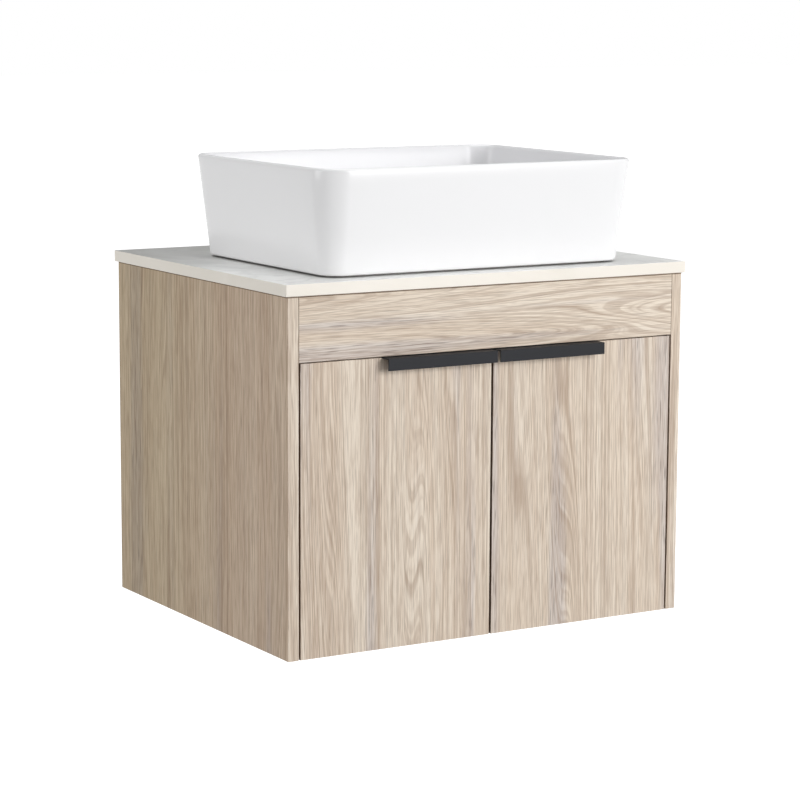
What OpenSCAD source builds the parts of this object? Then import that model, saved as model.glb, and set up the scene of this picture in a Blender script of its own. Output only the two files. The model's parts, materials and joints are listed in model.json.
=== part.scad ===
// Wall-hung bathroom vanity: two-door cabinet, stone top and rectangular vessel basin.
// Millimetres. +Z up, +Y towards the wall, doors face -Y.
// Origin: bottom edge of the wall plane, on the centre line.

/* [Cabinet] */
// Width over the side panels
cab_w = 592; // [560:1:640]
// Depth of the side panels, door faces included
cab_d = 482; // [470:1:500]
// Height of the side panels
cab_h = 454; // [440:1:480]
// Distance from the wall to the back edge of the side panels
wall_gap = 4; // [3:0.5:5]
// Height of the fixed front rail above the doors
fascia_h = 81.8; // [80:0.1:90]
// Height of the upper back rail
upper_rail_h = 115; // [110:1:120]
// Height of the lower back rail
lower_rail_h = 80; // [75:1:90]
// Depth of the flat stretcher behind the front rail
stretcher_d = 80; // [75:1:85]

/* [Doors] */
// Gap between a door and the side panel
side_gap = 2.4; // [2:0.1:2.5]
// Gap where the two doors meet
meeting_gap = 3; // [2.5:0.1:3.5]
// Gap between the doors and the front rail
rail_gap = 1.4; // [1.2:0.1:2.2]
// Height of the lower hinge centre
hinge_z_low = 80; // [75:1:90]
// Height of the upper hinge centre
hinge_z_high = 288; // [280:1:292]

/* [Handles] */
// Length of one edge pull
handle_len = 160.5; // [140:0.5:180]
// How far the front lip stands off the door face
handle_reach = 16; // [14:0.5:18]
// Height of the front lip
lip_h = 15.3; // [14:0.1:18]

/* [Top] */
// Thickness of the stone top
top_t = 15; // [12:0.5:20]
// Overhang past each side panel
top_side = 4; // [3:0.5:6]
// Overhang past the door faces
top_front = 3; // [2:0.5:5]
// Diameter of the tap hole
tap_hole_d = 35; // [32:0.5:36]

/* [Basin] */
// Width over the rim
basin_w = 474; // [460:1:490]
// Depth over the rim
basin_d = 373; // [360:1:380]
// Height above the top
basin_h = 136; // [125:1:145]
// How far the left and right walls lean in from rim to foot
side_taper = 13; // [8:1:18]
// How far the front and back walls lean in from rim to foot
front_taper = 17; // [10:1:20]
// Distance from the door faces to the basin centre
basin_from_front = 200; // [192:1:204]

/* [Hidden] */
$fn = 48;
panel_t = 15;
eps = 0.01;
inner_x = cab_w / 2 - panel_t;
front_y = -(cab_d + wall_gap);
fascia_z = cab_h - fascia_h;
door_top = fascia_z - rail_gap;
door_w = inner_x - side_gap - meeting_gap / 2;
basin_y = front_y + basin_from_front;
top_z = cab_h + top_t;
stretcher_y = front_y + panel_t + stretcher_d / 2;
// the bottom panel stands back from the door, which swings its hinged edge inwards as it opens
bumper_h = 4.8;
bottom_front = front_y + panel_t + bumper_h + 0.2;
// rails share the side panel's last 11 mm, so their fittings sit forward of the rail's own middle
rail_fit_y = -9.5;

// hinge, in its own frame: x from the side panel's inner face, y in from the door face, z from its centre;
// a single-pin cup hinge, its pin behind the door's face and beside its edge
cup_r = 17.5;
cup_x = side_gap + 4 + cup_r;
cup_depth = 12.5;
cup_wall = 0.8;
pivot = [side_gap + 10, 5.8];
pin_r = 1.5;
ear_in = 8.2;
ear_t = 2.8;
wing_t = 1.2;
arm_t = 2.2;
arm_w = 14;
plate_t = 2.4;
plate_y = 52;
plate_screw_z = 16;
adjuster_y = [plate_y, 70];
channel_x = 10.2;
cup_screw = [9.5, 24];
pilot_r = 1.4;

// edge pull
handle_t = 1.6;
lip_t = 2;
handle_top = fascia_z - 1;
handle_leg_h = 18;
handle_screw_x = 64;
handle_screw_z = fascia_z - 11;
handles_apart = 4.3;
handle_x = (handle_len + handles_apart) / 2;
// rebate in the door's edge, longer than the pull by this much at its outer end
rebate_play = 0.2;

// joint fittings of the boards: cams with their bolts, and dowels
cam_in = 24;
cam_r = 7.5;
cam_depth = 12;
bolt_bore_r = 3.5;
bolt_thread_r = 2.4;
bolt_thread_len = 10;
dowel_r = 3;
dowel_in_side = 11;
dowel_in_panel = 19;
// where they sit along each board's end: [place, is a cam]
bottom_fit = [[front_y + 62, true], [-60, true], [front_y + 32, false], [-240, false], [-30, false]];
stretcher_fit = [[stretcher_y, true], [stretcher_y - 24, false], [stretcher_y + 24, false]];
fascia_fit = [[fascia_z + 41, true], [fascia_z + 16, false], [fascia_z + 67, false]];
upper_fit = [[cab_h - 58, true], [cab_h - 94, false], [cab_h - 22, false]];
lower_fit = [[40, true], [14, false], [66, false]];

// wall screws, through the two back rails
wall_screw_x = 200;
wall_screw_z = [50, 390];
wall_screw_r = 3.5;

// basin and waste
basin_r = 40;
basin_floor = 16;
foot_gap = 2;
foot_hollow = 6;
// basin forms, each a stack of rounded outlines:
// [inset from the rim at the sides, inset at front and back, corner radius, height]
basin_shell = [[side_taper + 4.5, front_taper + 4.5, 23, foot_gap],
               [side_taper + 1.3, front_taper + 1.3, 27, foot_gap + 1.2],
               [side_taper, front_taper, 28, foot_gap + 4],
               [0, 0, basin_r, basin_h - 3.5],
               [0.9, 0.9, basin_r - 0.9, basin_h - 1],
               [3, 3, basin_r - 3, basin_h - eps]];
basin_foot = [[side_taper + 13, front_taper + 13, 18, 0],
              [side_taper + 13, front_taper + 13, 18, foot_gap + 1]];
basin_bowl = [[side_taper + 25, front_taper + 24, 22, basin_floor],
              [side_taper + 11, front_taper + 10, 28, basin_floor + 20],
              [6.5, 6.5, basin_r - 6.5, basin_h + 1]];
basin_hollow = [[side_taper + 38, front_taper + 38, 16, -1],
                [side_taper + 38, front_taper + 38, 16, foot_hollow]];
boss_r = 46;
tap_y = -51;

waste_hole_r = 22.5;
waste_r = 21;
waste_bore_r = 17;
waste_seat = top_z + basin_floor - 7.5;
waste_low = cab_h - 44;
guide_z = cab_h - 30;
flange_r = 32;
flange_edge_h = 1.2;
thread_play = 0.05;
nut_h = 10;
washer_t = 4;
tail_r = 15.9;
tail_bore_r = 14.5;
tail_low = 312;
tail_neck_r = tail_r + 0.8;
tail_neck_h = 12;
tail_collar_t = 1.9;
tail_top = waste_low - tail_collar_t - 0.1;
tail_nut_z = waste_low - 8;
stem_r = 4;

OAK = [0.78, 0.70, 0.60];
STONE = [0.93, 0.92, 0.90];
CERAMIC = [0.97, 0.97, 0.97];
ANTHRACITE = [0.22, 0.23, 0.25];
STEEL = [0.75, 0.75, 0.76];
ZINC = [0.62, 0.63, 0.65];
RUBBER = [0.15, 0.15, 0.15];
BEECH = [0.82, 0.68, 0.48];

SIDES = ["left", "right"];
LEVELS = ["lower", "upper"];
FIXED = ["side_panel_left", "side_panel_right", "bottom_panel", "front_rail", "front_stretcher",
         "back_rail_upper", "back_rail_lower", "countertop", "basin", "cam_locks", "cam_bolts", "dowels",
         "waste_body", "waste_flange_seal", "waste_washer", "waste_nut",
         "waste_tailpiece", "waste_tail_nut", "waste_stopper"];
PAIRED = ["door", "handle", "handle_screws", "cup_screws", "plate_screws", "hinge_adjusters",
          "door_bumpers"];
HINGED = ["hinge_cup", "hinge_arm", "hinge_plate", "hinge_pin"];

// ---- helpers ----

// Cylinder along a direction: "x", "y" or "z", from its start point towards the positive axis
module rod(at, r, len, dir = "z") {
    translate(at)
        rotate(dir == "x" ? [0, 90, 0] : dir == "y" ? [-90, 0, 0] : [0, 0, 0])
            cylinder(r = r, h = len);
}

module panel(x, y, z) {
    translate([x[0], y[0], z[0]]) cube([x[1] - x[0], y[1] - y[0], z[1] - z[0]]);
}

module both_sides() {
    children();
    mirror([1, 0, 0]) children();
}

module on_side(side) {
    if (side == "left") children();
    else mirror([1, 0, 0]) children();
}

// Places the hinge's own frame on the left side panel at a height
module hinge_frame(z) {
    translate([-inner_x, front_y, z]) children();
}

function hinge_z(level) = level == "lower" ? hinge_z_low : hinge_z_high;

// Strip of constant thickness along 2D points, with mitred bends
function left_of(a, b) = [a[1] - b[1], b[0] - a[0]] / norm(b - a);
function mitre(points, i) =
    let (last = len(points) - 1,
         before = left_of(points[max(i - 1, 0)], points[max(i, 1)]),
         after = left_of(points[min(i, last - 1)], points[min(i + 1, last)]),
         sum = before + after)
    sum * 2 / (sum * sum);

module strip2d(points, t) {
    last = len(points) - 1;
    polygon(concat([for (i = [0 : last]) points[i] + mitre(points, i) * t / 2],
                   [for (i = [last : -1 : 0]) points[i] - mitre(points, i) * t / 2]));
}

// Four corner discs at one height: hulled together, they give a basin's rounded outline
module corners(w, d, r, z, h = eps) {
    x = w / 2 - r;
    y = d / 2 - r;
    for (i = [-1, 1], j = [-1, 1]) translate([i * x, j * y, z]) cylinder(r = r, h = h, $fn = 32);
}

// ---- joint fittings ----

// Every fitting at the right end of the panels: fit_at(point on the joint plane, is a cam, cam's open face)
module each_fitting() {
    for (f = bottom_fit) fit_at([inner_x, f[0], panel_t / 2], f[1], "down") children();
    for (f = stretcher_fit) fit_at([inner_x, f[0], cab_h - panel_t / 2], f[1], "down") children();
    for (f = fascia_fit) fit_at([inner_x, front_y + panel_t / 2, f[0]], f[1], "back") children();
    for (f = upper_fit) fit_at([inner_x, rail_fit_y, f[0]], f[1], "front") children();
    for (f = lower_fit) fit_at([inner_x, rail_fit_y, f[0]], f[1], "front") children();
}

module fit_at(p, is_cam, face) {
    $is_cam = is_cam;
    $face = face;
    translate(p) children();
}

// Turns a cam that opens downwards so that it opens at its panel's back or front face
module cam_turn() {
    if ($face == "down") translate([0, 0, -panel_t / 2]) children();
    else if ($face == "back") translate([0, panel_t / 2, 0]) rotate([90, 0, 0]) children();
    else translate([0, -panel_t - rail_fit_y, 0]) rotate([-90, 0, 0]) children();
}

module fitting_holes() {
    each_fitting() {
        if ($is_cam) {
            rod([-cam_in, 0, 0], bolt_bore_r, cam_in + eps, "x");
            rod([-eps, 0, 0], bolt_thread_r + 0.1, bolt_thread_len, "x");
            translate([-cam_in, 0, 0]) cam_turn() translate([0, 0, -eps]) cylinder(r = cam_r, h = cam_depth);
        } else rod([-dowel_in_panel - 1, 0, 0], dowel_r + 0.05, dowel_in_panel + dowel_in_side + 2, "x");
    }
}

module cam_locks() {
    color(ZINC) both_sides() each_fitting() if ($is_cam) difference() {
        translate([-cam_in, 0, 0]) cam_turn() difference() {
            translate([0, 0, 0.3]) cylinder(r = cam_r - 0.1, h = cam_depth - 0.5);
            for (a = [0, 90]) rotate(a) translate([-3.5, -0.6, 0]) cube([7, 1.2, 1.5]);
        }
        rod([-cam_in - 3.8, 0, 0], 3.6, 20, "x");
    }
}

module cam_bolts() {
    color(STEEL) both_sides() each_fitting() if ($is_cam) {
        // head in the cam, neck, plain shank, then the thread in the side panel
        rod([-cam_in - 3.5, 0, 0], bolt_bore_r - 0.2, 2.5, "x");
        rod([-cam_in - 1.5, 0, 0], 1.8, 4.5, "x");
        rod([-cam_in + 2.5, 0, 0], bolt_bore_r - 0.3, cam_in - 2.7, "x");
        rod([-1, 0, 0], bolt_thread_r, bolt_thread_len + 0.8, "x");
    }
}

module dowels() {
    color(BEECH) both_sides() each_fitting() if (!$is_cam)
        rod([-dowel_in_panel, 0, 0], dowel_r, dowel_in_panel + dowel_in_side, "x");
}

// ---- carcass ----

module side_panel() {
    color(OAK) difference() {
        panel([-cab_w / 2, -inner_x], [front_y, -wall_gap], [0, cab_h]);
        mirror([1, 0, 0]) fitting_holes();
        for (l = LEVELS, s = [-1, 1])
            hinge_frame(hinge_z(l)) rod([-11, plate_y, s * plate_screw_z], 1.6, 12, "x");
    }
}

module bottom_panel() {
    color(OAK) difference() {
        panel([-inner_x, inner_x], [bottom_front, -panel_t], [0, panel_t]);
        both_sides() fitting_holes();
    }
}

module front_rail() {
    color(OAK) difference() {
        panel([-inner_x, inner_x], [front_y, front_y + panel_t], [fascia_z, cab_h]);
        both_sides() fitting_holes();
    }
}

module front_stretcher() {
    color(OAK) difference() {
        panel([-inner_x, inner_x], [front_y + panel_t, front_y + panel_t + stretcher_d],
              [cab_h - panel_t, cab_h]);
        both_sides() fitting_holes();
    }
}

module back_rail(z) {
    color(OAK) difference() {
        panel([-inner_x, inner_x], [-panel_t, 0], z);
        both_sides() fitting_holes();
        for (s = [-1, 1], h = wall_screw_z)
            rod([s * wall_screw_x, -panel_t - 1, h], wall_screw_r, panel_t + 2, "y");
    }
}

// ---- doors and handles ----

module door() {
    color(OAK) difference() {
        panel([-inner_x + side_gap, -meeting_gap / 2], [front_y, front_y + panel_t], [0, door_top]);
        for (l = LEVELS) hinge_frame(hinge_z(l)) {
            rod([cup_x, panel_t - cup_depth, 0], cup_r, cup_depth + 1, "y");
            for (s = [-1, 1]) rod([cup_x + cup_screw[0], 4, s * cup_screw[1]], pilot_r, 12, "y");
        }
        // shallow rebate in the top edge that lets the edge pull sit flush
        panel([-handle_x - handle_len / 2 - rebate_play, 0], [front_y - 1, front_y + panel_t + 1],
              [handle_top - handle_t, door_top + 1]);
        for (s = [-1, 1])
            rod([-handle_x + s * handle_screw_x, front_y + 3, handle_screw_z], pilot_r, panel_t, "y");
    }
}

// Folded aluminium strip: front lip, flat over the door's top edge, leg screwed to the door's back
module handle() {
    x = [-handle_x - handle_len / 2, -handle_x + handle_len / 2];
    lip = front_y - handle_reach;
    back = front_y + panel_t;
    color(ANTHRACITE) difference() {
        union() {
            panel(x, [lip, back + handle_t], [handle_top - handle_t, handle_top]);
            panel(x, [lip, lip + lip_t], [handle_top - lip_h, handle_top]);
            panel(x, [back, back + handle_t], [handle_top - handle_leg_h, handle_top]);
        }
        for (s = [-1, 1]) rod([-handle_x + s * handle_screw_x, back - 1, handle_screw_z], 1.9, 4, "y");
    }
}

// Round-headed wood screw along +y or -y, its head's seat at the origin
module wood_screw(len, r = 1.35, head_r = 3.3) {
    rotate([90, 0, 0]) {
        cylinder(r = r, h = len);
        translate([0, 0, -1.8]) difference() {
            cylinder(r1 = head_r - 0.9, r2 = head_r, h = 1.8);
            for (a = [0, 90]) rotate(a) translate([-1.8, -0.35, -0.1]) cube([3.6, 0.7, 1.1]);
        }
    }
}

module handle_screws() {
    color(STEEL) for (s = [-1, 1])
        translate([-handle_x + s * handle_screw_x, front_y + panel_t + handle_t, handle_screw_z])
            wood_screw(11);
}

module door_bumpers() {
    color(RUBBER) for (x = [-inner_x + 60, -30])
        rod([x, front_y + panel_t, panel_t / 2], 4.5, bumper_h, "y");
}

// ---- hinges ----

module hinge_cup() {
    color(STEEL) difference() {
        union() {
            rod([cup_x, panel_t - cup_depth + 0.1, 0], cup_r - 0.05, cup_depth - 0.1, "y");
            rod([cup_x, panel_t, 0], cup_r + 1.9, wing_t, "y");
            panel([cup_x + 2, cup_x + 15], [panel_t, panel_t + wing_t], [-cup_screw[1], cup_screw[1]]);
            for (s = [-1, 1]) rod([cup_x + cup_screw[0], panel_t, s * cup_screw[1]], 5.5, wing_t, "y");
        }
        difference() {
            rod([cup_x, panel_t - cup_depth + 0.7, 0], cup_r - cup_wall, cup_depth + 2, "y");
            for (s = [0, 1]) mirror([0, 0, s])
                panel([pivot[0] - 3.2, pivot[0] + 3.2], [2, 9.6], [ear_in, ear_in + ear_t]);
        }
        rod([pivot[0], pivot[1], -ear_in - ear_t], pin_r + 0.05, 2 * (ear_in + ear_t));
        for (s = [-1, 1]) rod([cup_x + cup_screw[0], panel_t - 1, s * cup_screw[1]], 1.8, 4, "y");
    }
}

module hinge_pin() {
    color(ZINC) rod([pivot[0], pivot[1], -ear_in - ear_t + 0.2], pin_r, 2 * (ear_in + ear_t - 0.2));
}

// Goose-neck arm: reaches round the door's edge into the cup, and carries the pin
module hinge_arm() {
    neck = [pivot, pivot + [16, 0.4], pivot + [19.2, 3.6], pivot + [19.2, 15], pivot + [16.5, 21],
            [13.5, 38], [9, 43.5], [9, 50]];
    color(STEEL) difference() {
        union() {
            translate([0, 0, -arm_w / 2]) linear_extrude(arm_w) strip2d(neck, arm_t);
            rod([pivot[0], pivot[1], -ear_in + 0.4], 2.4, 2 * (ear_in - 0.4));
            // channel that clips over the mounting plate
            difference() {
                panel([3.2, channel_x], [43, 80], [-7.4, 7.4]);
                panel([2, channel_x - 1.4], [42, 81], [-6.2, 6.2]);
            }
        }
        rod([pivot[0], pivot[1], -12], pin_r + 0.01, 24);
        for (y = adjuster_y) rod([0, y, 0], 2.4, 14, "x");
    }
}

module hinge_plate() {
    color(ZINC) difference() {
        union() {
            panel([0, 7.6], [44, 84], [-5.8, 5.8]);
            panel([0, plate_t], [plate_y - 6.5, plate_y + 6.5], [-plate_screw_z, plate_screw_z]);
            for (s = [-1, 1]) rod([0, plate_y, s * plate_screw_z], 6.5, plate_t, "x");
        }
        for (s = [-1, 1]) rod([-1, plate_y, s * plate_screw_z], 2.1, 5, "x");
        for (y = adjuster_y) rod([1, y, 0], 1.95, 8, "x");
    }
}

// Screws that fix the cups to the door's back
module cup_screws() {
    color(STEEL) for (l = LEVELS, s = [-1, 1]) hinge_frame(hinge_z(l))
        translate([cup_x + cup_screw[0], panel_t + wing_t, s * cup_screw[1]]) wood_screw(11);
}

// Screws that fix the plates to the side panel
module plate_screws() {
    color(STEEL) for (l = LEVELS, s = [-1, 1]) hinge_frame(hinge_z(l))
        translate([plate_t, plate_y, s * plate_screw_z]) rotate([0, 0, -90]) wood_screw(12.5, 1.55, 3.6);
}

// Side and depth adjusting screws on each arm
module hinge_adjusters() {
    color(ZINC) for (l = LEVELS, y = adjuster_y) hinge_frame(hinge_z(l))
        translate([channel_x, y, 0]) rotate([0, 0, -90]) wood_screw(8, 1.9, 3.7);
}

// ---- top and basin ----

module countertop() {
    color(STONE) difference() {
        panel([-cab_w / 2 - top_side, cab_w / 2 + top_side], [front_y - top_front, 0], [cab_h, top_z]);
        rod([0, basin_y, cab_h - 1], waste_hole_r + 1, top_t + 2);
        rod([0, tap_y, cab_h - 1], tap_hole_d / 2, top_t + 2);
    }
}

module basin_form(outlines) {
    hull() for (o = outlines) corners(basin_w - 2 * o[0], basin_d - 2 * o[1], o[2], o[3]);
}

module basin() {
    color(CERAMIC) translate([0, basin_y, top_z]) difference() {
        union() {
            basin_form(basin_shell);
            basin_form(basin_foot);
        }
        basin_form(basin_bowl);
        // the floor falls to the waste, whose flange sits in a rebate
        translate([0, 0, basin_floor - 3]) cylinder(r1 = flange_r + 1.5, r2 = 130, h = 3.1);
        translate([0, 0, basin_floor - 7.5]) cylinder(r = flange_r + 1, h = 6);
        translate([0, 0, -1]) cylinder(r = waste_hole_r, h = basin_floor + 2);
        // hollow under the foot, with a boss left round the waste
        difference() {
            basin_form(basin_hollow);
            translate([0, 0, -2]) cylinder(r = boss_r, h = foot_hollow + 4);
        }
    }
}

// ---- waste ----

module on_waste(z) {
    translate([0, basin_y, z]) children();
}

module ring(outer, inner, h) {
    difference() {
        cylinder(r = outer, h = h);
        translate([0, 0, -1]) cylinder(r = inner, h = h + 2);
    }
}

// Flanged and threaded tube, with a three-armed guide for the stopper's stem
module waste_body() {
    color(STEEL) on_waste(0) {
        difference() {
            union() {
                translate([0, 0, waste_seat + 2]) cylinder(r = flange_r, h = 2);
                translate([0, 0, waste_seat + 4 - eps])
                    cylinder(r1 = flange_r, r2 = flange_r - 3, h = flange_edge_h);
                translate([0, 0, waste_low]) cylinder(r = waste_r, h = waste_seat + 3 - waste_low);
            }
            translate([0, 0, waste_low - 1]) cylinder(r = waste_bore_r, h = 120);
            translate([0, 0, waste_seat + 2.4])
                cylinder(r1 = waste_bore_r, r2 = waste_bore_r + 5, h = 3.2);
        }
        translate([0, 0, guide_z]) difference() {
            union() {
                cylinder(r = stem_r + 2.5, h = 14);
                for (a = [90, 210, 330])
                    rotate(a) translate([0, -1.25, 2]) cube([waste_bore_r + 1, 2.5, 10]);
            }
            translate([0, 0, -1]) cylinder(r = stem_r + thread_play, h = 16);
        }
    }
}

module waste_flange_seal() {
    color(RUBBER) on_waste(waste_seat) ring(flange_r - 1, waste_r + 0.3, 2);
}

module waste_washer() {
    color(RUBBER) on_waste(cab_h - washer_t) ring(32, waste_r + 0.3, washer_t);
}

// Clamping nut with six lugs
module waste_nut() {
    color(ZINC) on_waste(cab_h - washer_t - nut_h) difference() {
        union() {
            cylinder(r = 31, h = nut_h);
            for (a = [0 : 60 : 300]) rotate(a) translate([28, -4, 0]) cube([7, 8, nut_h - 2]);
        }
        translate([0, 0, -1]) cylinder(r = waste_r + thread_play, h = nut_h + 2);
    }
}

// Outlet tube: a collar at its top, and a thicker neck inside the slip nut
module waste_tailpiece() {
    length = tail_top - tail_low;
    color(STEEL) on_waste(tail_low) difference() {
        union() {
            cylinder(r = tail_r, h = length);
            translate([0, 0, length - tail_neck_h]) cylinder(r = tail_neck_r, h = tail_neck_h);
            translate([0, 0, length]) cylinder(r = tail_r + 4, h = tail_collar_t);
        }
        translate([0, 0, -1]) cylinder(r = tail_bore_r, h = 200);
    }
}

// Slip nut that draws the tailpiece's collar up against the threaded tube
module waste_tail_nut() {
    color(ZINC) on_waste(tail_nut_z) difference() {
        union() {
            cylinder(r = 25, h = 18);
            for (a = [0 : 30 : 330]) rotate(a) translate([24, -2, 0]) cube([3, 4, 18]);
        }
        translate([0, 0, -1]) cylinder(r = tail_neck_r + 0.2, h = 30);
        translate([0, 0, tail_top - tail_nut_z - 0.2]) cylinder(r = waste_r + thread_play, h = 30);
    }
}

// Domed cap, the plug under it and the stem that slides in the guide
module waste_stopper() {
    cap_r = flange_r - 4;
    cap_t = 1.4;
    cap_z = waste_seat + 5.4;
    plug_h = 7;
    color(STEEL) on_waste(0) {
        translate([0, 0, cap_z]) cylinder(r = cap_r, h = cap_t);
        translate([0, 0, cap_z + cap_t - eps]) cylinder(r1 = cap_r, r2 = cap_r - 3, h = flange_edge_h);
        translate([0, 0, cap_z - plug_h]) cylinder(r = 15.5, h = plug_h + eps);
        translate([0, 0, guide_z - 6]) cylinder(r = stem_r, h = cap_z - 2 - guide_z + 6);
    }
}

// ---- what is drawn ----

side_panel();  // side_panel_left
mirror([1, 0, 0]) side_panel();  // side_panel_right
bottom_panel();
front_rail();
front_stretcher();
back_rail([cab_h - upper_rail_h, cab_h]);  // back_rail_upper
back_rail([0, lower_rail_h]);  // back_rail_lower
countertop();
basin();
cam_locks();
cam_bolts();
dowels();
waste_body();
waste_flange_seal();
waste_washer();
waste_nut();
waste_tailpiece();
waste_tail_nut();
waste_stopper();
for (s = SIDES) {
    on_side(s) door();
    on_side(s) handle();
    on_side(s) handle_screws();
    on_side(s) cup_screws();
    on_side(s) plate_screws();
    on_side(s) hinge_adjusters();
    on_side(s) door_bumpers();
    for (l = LEVELS) {
        on_side(s) hinge_frame(hinge_z(l)) hinge_cup();
        on_side(s) hinge_frame(hinge_z(l)) hinge_arm();
        on_side(s) hinge_frame(hinge_z(l)) hinge_plate();
        on_side(s) hinge_frame(hinge_z(l)) hinge_pin();
    }
}
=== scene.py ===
import json
from math import cos, radians, sin

import bmesh
import bpy
from mathutils import Matrix, Vector

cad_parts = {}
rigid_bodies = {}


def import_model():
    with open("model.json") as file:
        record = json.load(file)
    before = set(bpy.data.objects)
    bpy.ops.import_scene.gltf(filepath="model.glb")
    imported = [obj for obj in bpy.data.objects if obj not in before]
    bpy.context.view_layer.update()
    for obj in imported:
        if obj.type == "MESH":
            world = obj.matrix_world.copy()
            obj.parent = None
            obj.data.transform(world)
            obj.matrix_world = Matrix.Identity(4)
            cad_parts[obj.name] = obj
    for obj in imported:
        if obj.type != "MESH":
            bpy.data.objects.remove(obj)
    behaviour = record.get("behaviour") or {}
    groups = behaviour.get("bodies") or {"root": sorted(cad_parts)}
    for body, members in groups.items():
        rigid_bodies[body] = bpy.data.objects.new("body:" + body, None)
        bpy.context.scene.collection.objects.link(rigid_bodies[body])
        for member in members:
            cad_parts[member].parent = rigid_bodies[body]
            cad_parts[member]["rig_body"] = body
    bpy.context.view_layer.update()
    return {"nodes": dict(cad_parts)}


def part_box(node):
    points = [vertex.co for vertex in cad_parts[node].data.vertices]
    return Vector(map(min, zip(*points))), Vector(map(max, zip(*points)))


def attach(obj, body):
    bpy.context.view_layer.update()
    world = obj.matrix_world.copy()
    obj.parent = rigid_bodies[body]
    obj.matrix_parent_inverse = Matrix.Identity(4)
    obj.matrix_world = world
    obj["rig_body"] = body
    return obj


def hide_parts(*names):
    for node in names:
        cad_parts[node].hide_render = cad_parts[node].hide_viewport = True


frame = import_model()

NODES = frame["nodes"]
MM = 0.001
SIDES = ("left", "right")
LEVELS = ("lower", "upper")


# ---------------------------------------------------------------- camera, floor and light

SENSOR_MM = 36.0
LENS_MM = 120.006
CAMERA_AT = Vector((-1.8285, -3.3038, 0.8253))
CAMERA_YAW = radians(30.977)
CAMERA_PITCH = radians(-8.809)
CAMERA_ROLL = radians(0.285)
FLOOR_Z = -0.38
FLOOR_HALF_SIDE = 30.0
AIM = Vector((0.0, -0.25, 0.30))
DARK_SIDE = (-0.80, -0.60, 0.1)
FILL_LIGHT = 0.38
FILL_DARK = 0.32
WHITE = (1.0, 1.0, 1.0, 1.0)


def add_camera():
    """A long lens from the front left, a little above the basin's rim."""
    data = bpy.data.cameras.new("camera")
    data.sensor_width = SENSOR_MM
    data.lens = LENS_MM
    camera = bpy.data.objects.new("camera", data)
    bpy.context.scene.collection.objects.link(camera)
    along = cos(CAMERA_PITCH)
    forward = Vector((sin(CAMERA_YAW) * along, cos(CAMERA_YAW) * along, sin(CAMERA_PITCH)))
    level = Vector((cos(CAMERA_YAW), -sin(CAMERA_YAW), 0.0))
    upright = level.cross(forward)
    right = cos(CAMERA_ROLL) * level + sin(CAMERA_ROLL) * upright
    up = cos(CAMERA_ROLL) * upright - sin(CAMERA_ROLL) * level
    turn = Matrix((right, up, -forward)).transposed().to_4x4()
    camera.matrix_world = Matrix.Translation(CAMERA_AT) @ turn
    bpy.context.scene.camera = camera


def add_area_light(name, at, size, power):
    data = bpy.data.lights.new(name, "AREA")
    data.shape = "DISK"
    data.size = size
    data.energy = power
    light = bpy.data.objects.new(name, data)
    bpy.context.scene.collection.objects.link(light)
    light.location = at
    light.rotation_euler = (AIM - Vector(at)).to_track_quat("-Z", "Y").to_euler()


def add_world():
    """White to the camera. The light that falls on the object is dimmer, most of all from the front left."""
    world = bpy.data.worlds.new("studio")
    world.use_nodes = True
    nodes, links = world.node_tree.nodes, world.node_tree.links
    nodes.clear()
    output = nodes.new("ShaderNodeOutputWorld")
    blend = nodes.new("ShaderNodeMixShader")
    backdrop = nodes.new("ShaderNodeBackground")
    backdrop.inputs["Color"].default_value = WHITE
    fill = nodes.new("ShaderNodeBackground")
    fill.inputs["Color"].default_value = WHITE
    direction = nodes.new("ShaderNodeTexCoord")
    towards = nodes.new("ShaderNodeVectorMath")
    towards.operation = "DOT_PRODUCT"
    towards.inputs[1].default_value = DARK_SIDE
    strength = nodes.new("ShaderNodeMapRange")
    strength.interpolation_type = "SMOOTHSTEP"
    strength.inputs["From Min"].default_value = 0.1
    strength.inputs["From Max"].default_value = 1.0
    strength.inputs["To Min"].default_value = FILL_LIGHT
    strength.inputs["To Max"].default_value = FILL_DARK
    path = nodes.new("ShaderNodeLightPath")
    links.new(direction.outputs["Generated"], towards.inputs[0])
    links.new(towards.outputs["Value"], strength.inputs["Value"])
    links.new(strength.outputs["Result"], fill.inputs["Strength"])
    links.new(path.outputs["Is Camera Ray"], blend.inputs[0])
    links.new(fill.outputs[0], blend.inputs[1])
    links.new(backdrop.outputs[0], blend.inputs[2])
    links.new(blend.outputs[0], output.inputs["Surface"])
    bpy.context.scene.world = world


def add_floor():
    """A plain floor well below the hanging cabinet. It glows, so that it stays white far from the lamps."""
    mesh = bpy.data.meshes.new("floor")
    corners = [(x * FLOOR_HALF_SIDE, y * FLOOR_HALF_SIDE, FLOOR_Z)
               for x, y in ((-1, -1), (1, -1), (1, 1), (-1, 1))]
    mesh.from_pydata(corners, [], [(0, 1, 2, 3)])
    floor = bpy.data.objects.new("floor", mesh)
    bpy.context.scene.collection.objects.link(floor)
    material = bpy.data.materials.new("floor")
    material.use_nodes = True
    shader = material.node_tree.nodes["Principled BSDF"]
    shader.inputs["Base Color"].default_value = (0.4, 0.4, 0.4, 1.0)
    shader.inputs["Roughness"].default_value = 0.9
    shader.inputs["Specular IOR Level"].default_value = 0.1
    shader.inputs["Emission Color"].default_value = WHITE
    shader.inputs["Emission Strength"].default_value = 1.0
    mesh.materials.append(material)
    floor.visible_diffuse = False


def set_up_studio():
    bpy.context.scene.view_settings.view_transform = "Standard"
    add_camera()
    add_world()
    add_floor()
    add_area_light("key", (1.3, -3.6, 1.15), 2.2, 94.0)
    add_area_light("overhead", (0.2, 0.0, 3.2), 2.4, 34.0)
    add_area_light("left", (-3.4, 0.3, 1.0), 2.0, 40.0)


# ---------------------------------------------------------------- materials

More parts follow.
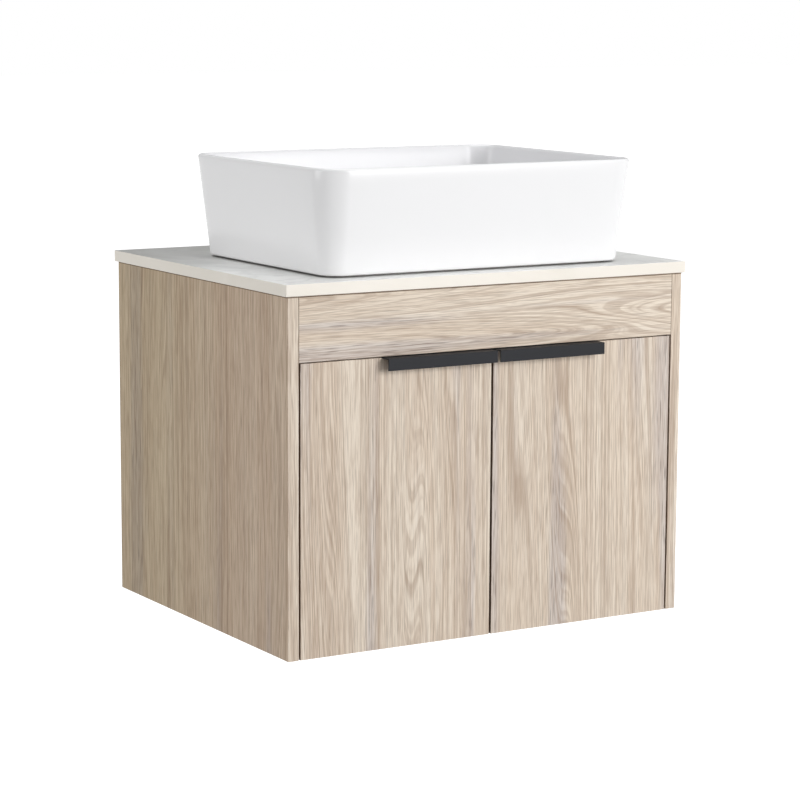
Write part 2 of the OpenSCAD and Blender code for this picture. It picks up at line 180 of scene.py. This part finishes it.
class Surface:
    """A material's node tree, with one short method per kind of node."""

    def __init__(self, name):
        self.material = bpy.data.materials.new(name)
        self.material.use_nodes = True
        self.tree = self.material.node_tree
        self.shader = self.tree.nodes["Principled BSDF"]
        self.place = self.tree.nodes.new("ShaderNodeTexCoord").outputs

    def join(self, value, socket):
        if isinstance(value, bpy.types.NodeSocket):
            self.tree.links.new(value, socket)
        elif value is not None:
            socket.default_value = value

    def set(self, **values):
        for name, value in values.items():
            self.join(value, self.shader.inputs[name.replace("_", " ")])

    def math(self, operation, a, b=None):
        node = self.tree.nodes.new("ShaderNodeMath")
        node.operation = operation
        for value, socket in zip((a, b), node.inputs):
            self.join(value, socket)
        return node.outputs[0]

    def split(self, vector):
        node = self.tree.nodes.new("ShaderNodeSeparateXYZ")
        self.join(vector, node.inputs[0])
        return node.outputs

    def vector(self, x, y, z):
        node = self.tree.nodes.new("ShaderNodeCombineXYZ")
        for value, socket in zip((x, y, z), node.inputs):
            self.join(value, socket)
        return node.outputs[0]

    def noise(self, vector, scale=1.0, detail=2.0, roughness=0.5, distortion=0.0):
        node = self.tree.nodes.new("ShaderNodeTexNoise")
        self.join(vector, node.inputs["Vector"])
        for name, value in (("Scale", scale), ("Detail", detail), ("Roughness", roughness),
                            ("Distortion", distortion)):
            node.inputs[name].default_value = value
        return node.outputs["Fac"]

    def range(self, value, low, high, to_low=0.0, to_high=1.0, smooth=True):
        node = self.tree.nodes.new("ShaderNodeMapRange")
        node.interpolation_type = "SMOOTHSTEP" if smooth else "LINEAR"
        for name, number in (("From Min", low), ("From Max", high), ("To Min", to_low), ("To Max", to_high)):
            node.inputs[name].default_value = number
        self.join(value, node.inputs["Value"])
        return node.outputs["Result"]

    def mix(self, factor, a, b, kind="MIX"):
        node = self.tree.nodes.new("ShaderNodeMix")
        node.data_type = "RGBA"
        node.blend_type = kind
        self.join(factor, node.inputs["Factor"])
        self.join(a, node.inputs[6])
        self.join(b, node.inputs[7])
        return node.outputs[2]

    def bump(self, height, distance, strength=1.0):
        node = self.tree.nodes.new("ShaderNodeBump")
        node.inputs["Strength"].default_value = strength
        node.inputs["Distance"].default_value = distance
        self.join(height, node.inputs["Height"])
        self.tree.links.new(node.outputs[0], self.shader.inputs["Normal"])


def colour(red, green, blue):
    """An sRGB colour, 0 to 255, as a linear one."""
    parts = [value / 255.0 for value in (red, green, blue)]
    linear = [part / 12.92 if part <= 0.04045 else ((part + 0.055) / 1.055) ** 2.4 for part in parts]
    return (*linear, 1.0)


CREAM = colour(229, 216, 199)
TAN = colour(217, 200, 181)
PALE = colour(242, 232, 218)
BROWN = colour(160, 136, 116)
ASH_GREY = colour(192, 186, 187)
PORE = colour(124, 110, 102)

# Painted shade: what the wood's colour is multiplied by where it is darker, on the side panels' faces to the
# left and right, on the doors' edges in the gaps and in thin lines at the joints
SIDE_PAINTED_SHADE_FRONT = (0.80, 0.73, 0.66, 1.0)
SIDE_PAINTED_SHADE_BACK = (0.68, 0.62, 0.50, 1.0)
DOOR_EDGE_PAINTED_SHADE = (0.36, 0.30, 0.25, 1.0)
JOINT_PAINTED_SHADE = (0.30, 0.25, 0.20, 1.0)

# Width of the painted shade line at a board's end and at its top, and a half width that no board reaches
END_JOINT = 0.8 * MM
TOP_JOINT = 1.9 * MM
NO_END_JOINT = 1.0


def make_wood(name, along, seed, coarse=1.0, shade=None, joints=None):
    """Pale oak laminate. Growth rings, drawn out into narrow V shapes, run between fine lines and pores.

    shade: the painted shade, colours that the faces to the left and right are darkened by, at the front and
    at the back.
    joints: half width and height beyond which a thin dark line of painted shade marks the joint with the
    next board.
    """
    s = Surface(name)
    parts = s.split(s.place["Object"])
    length = parts["XYZ".index(along)]
    others = [parts[i] for i in range(3) if "XYZ"[i] != along]
    across = s.math("ADD", others[0], others[1])

    def stretched(position, across_scale, length_scale, shift, detail=2.0, roughness=0.5):
        where = s.vector(s.math("MULTIPLY", position, across_scale / coarse),
                         s.math("MULTIPLY", length, length_scale), seed + shift)
        return s.noise(where, detail=detail, roughness=roughness)

    figured = s.range(stretched(across, 11.0, 0.3, 5.0, detail=0.0), 0.42, 0.56, 0.15, 1.0)
    swell = s.math("MULTIPLY", s.math("SUBTRACT", stretched(across, 18.0, 1.3, 10.0, detail=0.0), 0.5), 0.13)
    waver = s.math("MULTIPLY", s.math("SUBTRACT", stretched(across, 60.0, 9.0, 15.0), 0.5), 0.0012)
    ring = s.math("ADD", across, s.math("ADD", s.math("MULTIPLY", swell, figured), waver))

    contour = stretched(ring, 80.0, 0.3, 20.0, detail=0.0)
    ring_line = s.range(s.math("ABSOLUTE", s.math("SUBTRACT", contour, 0.5)), 0.0, 0.04, 1.0, 0.0)
    band = s.range(stretched(ring, 30.0, 0.5, 30.0), 0.36, 0.64)
    grey_band = s.range(stretched(across, 22.0, 0.8, 35.0), 0.53, 0.66)
    line = stretched(ring, 600.0, 2.5, 25.0, detail=1.0, roughness=0.7)
    fibre = stretched(across, 700.0, 18.0, 40.0, detail=2.0, roughness=0.8)
    dash = s.range(stretched(across, 640.0, 24.0, 50.0, detail=1.0), 0.56, 0.70)

    tone = s.mix(band, CREAM, TAN)
    tone = s.mix(s.math("MULTIPLY", grey_band, 0.55), tone, ASH_GREY)
    tone = s.mix(s.range(line, 0.36, 0.54, 0.36, 0.0), tone, BROWN)
    tone = s.mix(s.range(line, 0.55, 0.68, 0.0, 0.18), tone, PALE)
    tone = s.mix(s.range(fibre, 0.36, 0.54, 0.44, 0.0), tone, BROWN)
    tone = s.mix(s.range(fibre, 0.54, 0.66, 0.0, 0.26), tone, PALE)
    tone = s.mix(s.math("MULTIPLY", ring_line, 0.46), tone, BROWN)
    tone = s.mix(s.math("MULTIPLY", dash, s.range(grey_band, 0.0, 1.0, 0.22, 0.62)), tone, PORE)
    # painted shade: the faces to the left and right are multiplied by a colour that runs from the front to
    # the back
    if shade:
        sideways = s.math("ABSOLUTE", s.split(s.place["Normal"])["X"])
        painted_shade_tint = s.mix(s.range(parts["Y"], -0.42, -0.08), *shade)
        tone = s.mix(s.range(sideways, 0.5, 0.9), tone, s.mix(1.0, tone, painted_shade_tint, "MULTIPLY"))
    # painted shade in a thin line at the joints: under the countertop's overhang and at the rail's ends
    if joints:
        beyond = s.math("MAXIMUM", s.math("SUBTRACT", s.math("ABSOLUTE", parts["X"]), joints[0]),
                        s.math("SUBTRACT", parts["Z"], joints[1]))
        tone = s.mix(s.math("GREATER_THAN", beyond, 0.0), tone, s.mix(1.0, tone, JOINT_PAINTED_SHADE, "MULTIPLY"))
    s.set(Base_Color=tone, Roughness=s.range(fibre, 0.3, 0.7, 0.62, 0.50), Specular_IOR_Level=0.3)
    s.bump(s.math("SUBTRACT", fibre, s.math("MULTIPLY", dash, 0.8)), 0.00012, 0.5)
    return s.material


def make_stone():
    """Pale veined stone with painted shade that greys it towards the back left, and a plain cream band round
    its edges.
    """
    s = Surface("stone_top")
    place = s.place["Object"]
    cloud = s.noise(place, scale=5.0, detail=4.0, roughness=0.6, distortion=0.8)
    vein_field = s.noise(place, scale=3.2, detail=5.0, roughness=0.55, distortion=1.6)
    vein = s.range(s.math("ABSOLUTE", s.math("SUBTRACT", vein_field, 0.5)), 0.0, 0.035, 1.0, 0.0)
    speck = s.noise(place, scale=900.0, detail=2.0)
    where = s.split(place)
    # painted shade: the top greys towards the back left
    painted_shade_drift = s.math("SUBTRACT", where["Y"], s.math("MULTIPLY", where["X"], 0.6))
    painted_shade_drift = s.math("ADD", painted_shade_drift, s.math("MULTIPLY", cloud, 0.16))
    face = s.mix(s.range(cloud, 0.35, 0.68), colour(246, 246, 244), colour(232, 233, 231))
    face = s.mix(s.range(painted_shade_drift, -0.06, 0.20, 0.0, 0.85), face, colour(162, 162, 159))
    face = s.mix(s.math("MULTIPLY", vein, 0.30), face, colour(198, 199, 198))
    band = s.mix(s.range(cloud, 0.3, 0.7), colour(241, 235, 225), colour(235, 229, 218))
    upward = s.range(s.split(s.place["Normal"])["Z"], 0.5, 0.9)
    tone = s.mix(upward, band, face)
    tone = s.mix(s.range(speck, 0.35, 0.65, 0.0, 0.06), tone, colour(200, 196, 190))
    s.set(Base_Color=tone, Roughness=s.range(cloud, 0.3, 0.7, 0.32, 0.42), Specular_IOR_Level=0.4)
    s.bump(speck, 0.00003, 0.3)
    return s.material


def make_glaze():
    """White glazed ceramic: a soft gloss that varies faintly, painted shade that darkens the inside, and an
    unglazed foot painted dark as the shade in the gap under the basin.
    """
    s = Surface("basin_glaze")
    place = s.place["Object"]
    low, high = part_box("basin")
    centre = ((low.x + high.x) / 2, (low.y + high.y) / 2)
    where, normal = s.split(place), s.split(s.place["Normal"])
    outward = s.math("ADD", s.math("MULTIPLY", normal["X"], s.math("SUBTRACT", where["X"], centre[0])),
                     s.math("MULTIPLY", normal["Y"], s.math("SUBTRACT", where["Y"], centre[1])))
    inside = s.range(outward, -0.10, -0.02, 1.0, 0.0)
    foot = s.math("LESS_THAN", where["Z"], low.z + FOOT_GAP + 0.3 * MM)
    wave = s.noise(place, scale=4.0, detail=0.0)
    pin_holes = s.noise(place, scale=1400.0, detail=1.0)
    tone = s.mix(s.range(wave, 0.0, 1.0, smooth=False), colour(239, 239, 240), colour(238, 238, 239))
    # painted shade: the inside is a little darker than the outside
    tone = s.mix(inside, tone, colour(230, 230, 232))
    # the unglazed foot, painted dark as the shade in the gap under the basin
    tone = s.mix(foot, tone, colour(118, 112, 103))
    s.set(Base_Color=tone, Roughness=s.range(wave, 0.0, 1.0, 0.255, 0.275, smooth=False),
          Specular_IOR_Level=0.5, Coat_Weight=0.12, Coat_Roughness=0.10)
    s.bump(pin_holes, 0.000004, 0.2)
    return s.material


def make_coated_metal():
    """Anthracite powder coat: satin, with a fine orange-peel grain."""
    s = Surface("anthracite")
    place = s.place["Object"]
    grain = s.noise(place, scale=2600.0, detail=2.0)
    smudge = s.noise(place, scale=22.0, detail=3.0)
    tone = s.mix(s.range(smudge, 0.3, 0.7), colour(29, 30, 34), colour(34, 35, 39))
    tone = s.mix(s.range(grain, 0.35, 0.65, 0.0, 0.25), tone, colour(46, 47, 51))
    s.set(Base_Color=tone, Roughness=s.range(smudge, 0.3, 0.7, 0.50, 0.58), Specular_IOR_Level=0.18)
    s.bump(grain, 0.00004, 0.4)
    return s.material


def make_metal(name, base, low, high, stretch=(1.0, 1.0, 1.0), scale=300.0, depth=0.00002):
    """Bare or plated metal with fine brushing or casting grain."""
    s = Surface(name)
    parts = s.split(s.place["Object"])
    where = s.vector(*[s.math("MULTIPLY", part, factor) for part, factor in zip(parts, stretch)])
    grain = s.noise(where, scale=scale, detail=3.0, roughness=0.6)
    cloud = s.noise(s.place["Object"], scale=35.0, detail=2.0)
    darker = (*(part * 0.82 for part in base[:3]), 1.0)
    s.set(Base_Color=s.mix(s.range(cloud, 0.3, 0.7), base, darker), Metallic=1.0,
          Roughness=s.range(grain, 0.3, 0.7, low, high))
    s.bump(grain, depth, 0.4)
    return s.material


def make_rubber():
    s = Surface("rubber")
    grain = s.noise(s.place["Object"], scale=1800.0, detail=2.0)
    s.set(Base_Color=s.mix(s.range(grain, 0.3, 0.7), colour(34, 34, 35), colour(48, 48, 49)),
          Roughness=s.range(grain, 0.3, 0.7, 0.6, 0.8))
    s.bump(grain, 0.00006, 0.5)
    return s.material


# ---------------------------------------------------------------- shapes

def link(name, mesh, material, body, slot, *replaced):
    """Puts a mesh in the scene as a piece that rides on a body, in place of the CAD nodes it replaces."""
    piece = bpy.data.objects.new(name, mesh)
    bpy.context.scene.collection.objects.link(piece)
    mesh.materials.clear()
    mesh.materials.append(material)
    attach(piece, body)
    if replaced:
        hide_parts(*replaced)
    return piece


def soften(node, name, radius, shortest, material, slot):
    """The CAD node's own shape with its long outer edges rounded, as edge banding or folding leaves them."""
    shape = bmesh.new()
    shape.from_mesh(NODES[node].data)
    bmesh.ops.remove_doubles(shape, verts=shape.verts, dist=1e-6)
    bmesh.ops.dissolve_limit(shape, angle_limit=radians(0.5), verts=shape.verts, edges=shape.edges)
    long_edges = [e for e in shape.edges
                  if len(e.link_faces) == 2 and e.calc_length() > shortest
                  and e.calc_face_angle() > radians(60) and e.is_convex]
    bmesh.ops.bevel(shape, geom=long_edges, offset=radius, segments=3, profile=0.5, affect="EDGES",
                    clamp_overlap=False)
    mesh = bpy.data.meshes.new(name)
    shape.to_mesh(mesh)
    shape.free()
    mesh.polygons.foreach_set("use_smooth", [True] * len(mesh.polygons))
    mesh.set_sharp_from_angle(angle=radians(50))
    piece = link(name, mesh, material, NODES[node]["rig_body"], slot, node)
    weighted = piece.modifiers.new("weighted_normal", "WEIGHTED_NORMAL")
    weighted.keep_sharp = True


# The basin's sizes, as the CAD model has them
SIDE_TAPER = 13 * MM
FRONT_TAPER = 17 * MM
RIM_CORNER = 40 * MM
FOOT_CORNER = 28 * MM
RIM_WALL = 6.5 * MM
FOOT_GAP = 2 * MM
FOOT_ROUND = 4 * MM
FOOT_INSET = 13 * MM
FOOT_RADIUS = 18 * MM
HOLLOW_INSET = 38 * MM
HOLLOW_RADIUS = 16 * MM
FOOT_HOLLOW = 6 * MM
RIM_ROUND = 3.5 * MM
LIP_ROUND = 3 * MM
FLOOR = 16 * MM
COVE_HEIGHT = 20 * MM
COVE_WIDTH = 14 * MM
COVE_SHARPER = 6 * MM
COVE_SIDE_INSET = 11 * MM
COVE_FRONT_INSET = 10 * MM
FLANGE_SEAT = 33 * MM
SEAT_DEPTH = 7.5 * MM
WASTE_HOLE = 22.5 * MM
BOSS = 46 * MM
CORNER_STEPS = 14
SIDE_STEPS = 6


def rounded_loop(width, depth, radius, z):
    """Points round a rectangle with round corners, anticlockwise from the right-hand side."""
    points = []
    x, y = width / 2 - radius, depth / 2 - radius
    centres = [(x, y, 0), (-x, y, 90), (-x, -y, 180), (x, -y, 270)]
    for index, (cx, cy, start) in enumerate(centres):
        for step in range(CORNER_STEPS + 1):
            turn = radians(start + 90 * step / CORNER_STEPS)
            points.append(Vector((cx + radius * cos(turn), cy + radius * sin(turn), z)))
        nx, ny, after = centres[(index + 1) % 4]
        turn = radians(after)
        ahead = Vector((nx + radius * cos(turn), ny + radius * sin(turn), z))
        last = points[-1]
        points += [last.lerp(ahead, step / SIDE_STEPS) for step in range(1, SIDE_STEPS)]
    return points


def round_loop(radius, z, like):
    """A circle with a point in the same direction as each point of another loop."""
    return [Vector((p.x, p.y, 0)).normalized() * radius + Vector((0, 0, z)) for p in like]


def add_basin(material):
    low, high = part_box("basin")
    width, depth, height = high - low
    wall_top = height - RIM_ROUND
    wall_foot = FOOT_GAP + FOOT_ROUND

    def outline(z, side, front, radius):
        return rounded_loop(width - 2 * side, depth - 2 * front, radius, z)

    def outer(z, inset=0.0):
        lean = min(max((wall_top - z) / (wall_top - wall_foot), 0.0), 1.0)
        radius = RIM_CORNER + (FOOT_CORNER - RIM_CORNER) * lean
        return outline(z, SIDE_TAPER * lean + inset, FRONT_TAPER * lean + inset, radius - inset)

    # underneath: the waste hole, the boss round it, the hollow and the foot that the basin stands on
    hollow = outline(0, SIDE_TAPER + HOLLOW_INSET, FRONT_TAPER + HOLLOW_INSET, HOLLOW_RADIUS)
    foot = (SIDE_TAPER + FOOT_INSET, FRONT_TAPER + FOOT_INSET, FOOT_RADIUS)
    loops = [
        round_loop(WASTE_HOLE, 0, hollow),
        round_loop(BOSS, 0, hollow),
        round_loop(BOSS, FOOT_HOLLOW, hollow),
        [p + Vector((0, 0, FOOT_HOLLOW)) for p in hollow],
        hollow,
        outline(0, *foot),
        outline(FOOT_GAP, *foot),
    ]

    # outside: round the bottom edge, up the wall and over the rim
    loops += [outer(FOOT_GAP + FOOT_ROUND * (1 - cos(radians(a))), FOOT_ROUND * (1 - sin(radians(a))))
              for a in range(0, 91, 15)]
    loops += [outer(wall_foot + (wall_top - wall_foot) * step / 8) for step in range(1, 9)]
    loops += [outer(wall_top + RIM_ROUND * sin(radians(a)), RIM_ROUND * (1 - cos(radians(a))))
              for a in range(15, 91, 15)]

    # inside: down from the rim, round the cove, and over the floor to the waste
    cove_top = FLOOR + COVE_HEIGHT

    def inner(z, side=0.0, rounding=0.0):
        part = min(max((z - cove_top) / (height - cove_top), 0.0), 1.0)
        at_rim = RIM_WALL * part
        radius = (RIM_CORNER - RIM_WALL) * part + FOOT_CORNER * (1 - part)
        return outline(z, (SIDE_TAPER + COVE_SIDE_INSET) * (1 - part) + at_rim + side,
                       (FRONT_TAPER + COVE_FRONT_INSET) * (1 - part) + at_rim + side, radius - rounding)

    lip = height - LIP_ROUND
    loops += [inner(height - LIP_ROUND * (1 - cos(radians(a))), -LIP_ROUND * (1 - sin(radians(a))))
              for a in range(15, 91, 15)]
    loops += [inner(lip - (lip - cove_top) * step / 10) for step in range(1, 11)]
    loops += [inner(cove_top - COVE_HEIGHT * sin(radians(a)), COVE_WIDTH * (1 - cos(radians(a))),
                    COVE_SHARPER * (1 - cos(radians(a)))) for a in range(9, 91, 9)]
    loops += [
        round_loop(radius, FLOOR - drop, hollow)
        for radius, drop in (
            (95 * MM, 1.1 * MM), (60 * MM, 2.1 * MM), (FLANGE_SEAT + 0.8 * MM, 2.9 * MM),
            (FLANGE_SEAT, 3.6 * MM), (FLANGE_SEAT, SEAT_DEPTH), (WASTE_HOLE, SEAT_DEPTH),
        )
    ]

    centre = Vector(((low.x + high.x) / 2, (low.y + high.y) / 2, low.z))
    count = len(hollow)
    points = [centre + p for loop in loops for p in loop]
    faces = []
    for row in range(len(loops)):
        here, there = row * count, (row + 1) % len(loops) * count
        for i in range(count):
            j = (i + 1) % count
            faces.append((here + i, here + j, there + j, there + i))
    mesh = bpy.data.meshes.new("basin_glazed")
    mesh.from_pydata(points, [], faces)
    shape = bmesh.new()
    shape.from_mesh(mesh)
    bmesh.ops.recalc_face_normals(shape, faces=shape.faces)
    shape.to_mesh(mesh)
    shape.free()
    mesh.polygons.foreach_set("use_smooth", [True] * len(mesh.polygons))
    mesh.set_sharp_from_angle(angle=radians(40))
    link("basin_glazed", mesh, material, "cabinet", "basin_glaze", "basin")


# ---------------------------------------------------------------- what is shown

def dress(node, material):
    """Gives a CAD node that keeps its own shape a better material."""
    mesh = NODES[node].data
    if not mesh.materials:
        mesh.materials.append(material)
    for index in range(len(mesh.materials)):
        mesh.materials[index] = material


def dress_boards():
    """Gives each board its own piece of wood: the way its grain runs and a seed."""
    boards = {
        "side_panel_left": ("Z", 1.7), "side_panel_right": ("Z", 8.1), "door_left": ("Z", 3.3),
        "door_right": ("Z", 5.9), "front_rail": ("X", 9.7), "bottom_panel": ("X", 14.2),
        "front_stretcher": ("X", 17.6), "back_rail_upper": ("X", 20.5), "back_rail_lower": ("X", 23.8),
    }
    for node, (along, seed) in boards.items():
        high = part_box(node)[1]
        if "side_panel" in node:
            look = {"coarse": 1.2, "shade": (SIDE_PAINTED_SHADE_FRONT, SIDE_PAINTED_SHADE_BACK),
                    "joints": (NO_END_JOINT, high.z - TOP_JOINT)}
        elif "door" in node:
            # the doors' edges get painted shade, as in the gaps between the doors
            look = {"shade": (DOOR_EDGE_PAINTED_SHADE, DOOR_EDGE_PAINTED_SHADE)}
        elif node == "front_rail":
            look = {"coarse": 0.8, "joints": (high.x - END_JOINT, high.z - TOP_JOINT)}
        else:
            look = {}
        wood = make_wood(f"oak_{node}", along, seed, **look)
        soften(node, f"{node}_board", 0.5 * MM, 12 * MM, wood, "oak_board")


def dress_metal():
    steel = make_metal("bright_steel", colour(206, 206, 208), 0.22, 0.36, stretch=(1.0, 1.0, 8.0))
    zinc = make_metal("zinc", colour(178, 180, 184), 0.34, 0.50, scale=700.0, depth=0.00004)
    chrome = make_metal("waste_chrome", colour(232, 233, 235), 0.05, 0.10, scale=60.0, depth=0.00001)
    rubber = make_rubber()
    beech = make_wood("beech", "X", 31.0)
    chosen = {"cam_locks": zinc, "cam_bolts": steel, "dowels": beech, "waste_body": chrome,
              "waste_flange_seal": rubber, "waste_washer": rubber, "waste_nut": zinc,
              "waste_tailpiece": chrome, "waste_tail_nut": chrome, "waste_stopper": chrome}
    for side in SIDES:
        for kind in ("handle_screws", "cup_screws", "plate_screws", "hinge_adjusters"):
            chosen[f"{kind}_{side}"] = steel
        chosen[f"door_bumpers_{side}"] = rubber
        for level in LEVELS:
            chosen[f"hinge_cup_{level}_{side}"] = steel
            chosen[f"hinge_arm_{level}_{side}"] = steel
            chosen[f"hinge_plate_{level}_{side}"] = zinc
            chosen[f"hinge_pin_{level}_{side}"] = zinc
    for node, material in chosen.items():
        dress(node, material)


set_up_studio()
dress_boards()
dress_metal()
soften("countertop", "stone_slab", 0.8 * MM, 12 * MM, make_stone(), "stone_top")
coated = make_coated_metal()
for side in SIDES:
    soften(f"handle_{side}", f"edge_pull_{side}", 0.4 * MM, 8 * MM, coated, "anthracite")
add_basin(make_glaze())
